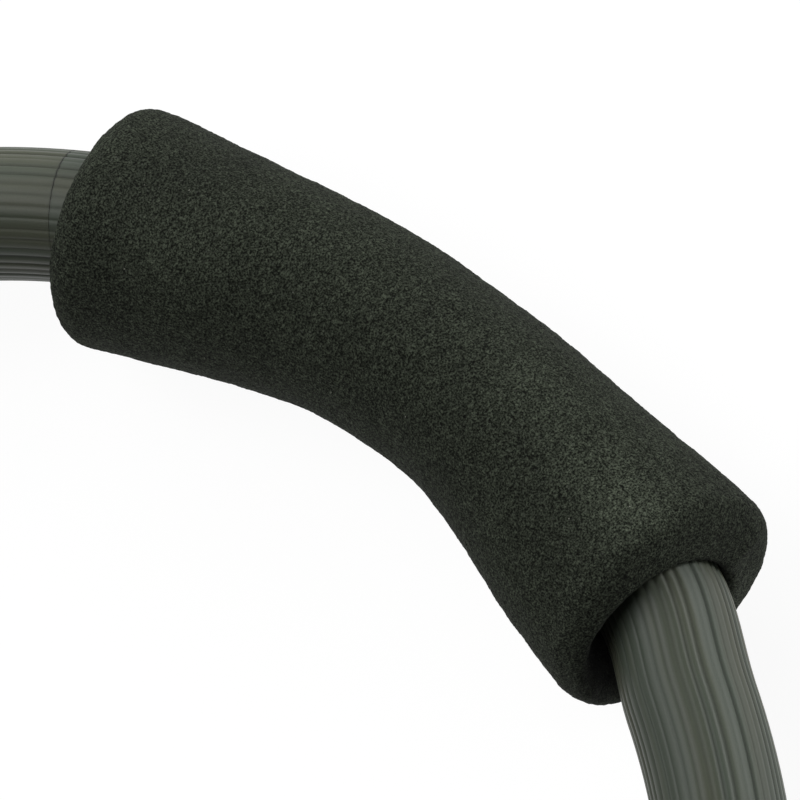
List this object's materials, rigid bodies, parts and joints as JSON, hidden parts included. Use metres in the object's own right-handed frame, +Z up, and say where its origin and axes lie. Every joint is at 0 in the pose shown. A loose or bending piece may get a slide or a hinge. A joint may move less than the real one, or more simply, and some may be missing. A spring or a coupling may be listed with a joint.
{
  "type": "exercise ring",
  "caption": "Springy hoop of ribbed rubber hose round a glass-fibre core, with a foam grip on each side, squeezed between the hands or knees.",
  "frame": {"origin": "on the floor under the centre of the ring, which lies flat on its grips' ends", "axes": "+Z up along the ring's axis, +X through the middle of grip a, so that the grips are squeezed along X"},
  "size_m": [0.3728, 0.364, 0.0602],
  "materials": {
    "hose_rubber": "matte",
    "clear_plastic": "satin",
    "glass_fibre": "satin",
    "clip_plastic": "satin",
    "plate_steel": "satin",
    "rivet_steel": "satin",
    "grip_foam": "matte"
  },
  "bodies": {
    "hoop": {"ribbed_hose": "hose_rubber", "hose_joint_sleeve": "clear_plastic", "core_strip_inner": "glass_fibre", "core_strip_outer": "glass_fibre", "core_spacers": "clip_plastic"},
    "grip_a": {"foam_grip_a": "grip_foam", "splice_plate_inner_a": "plate_steel", "splice_plate_outer_a": "plate_steel", "splice_rivets_a": "rivet_steel"},
    "grip_b": {"foam_grip_b": "grip_foam", "splice_plate_inner_b": "plate_steel", "splice_plate_outer_b": "plate_steel", "splice_rivets_b": "rivet_steel"}
  },
  "joints": [
    {"name": "squeeze_a", "type": "slide", "parent": "hoop", "child": "grip_a", "axis": [-1, 0, 0], "range_m": [0, 0.03], "stiffness_N_per_m": 3000, "deforming": ["ribbed_hose", "hose_joint_sleeve", "core_strip_inner", "core_strip_outer", "core_spacers"]},
    {"name": "squeeze_b", "type": "slide", "parent": "hoop", "child": "grip_b", "axis": [1, 0, 0], "range_m": [0, 0.03], "stiffness_N_per_m": 3000}
  ],
  "couplings": [
    {"joint": "squeeze_b", "follows": "squeeze_a", "ratio": 1}
  ]
}
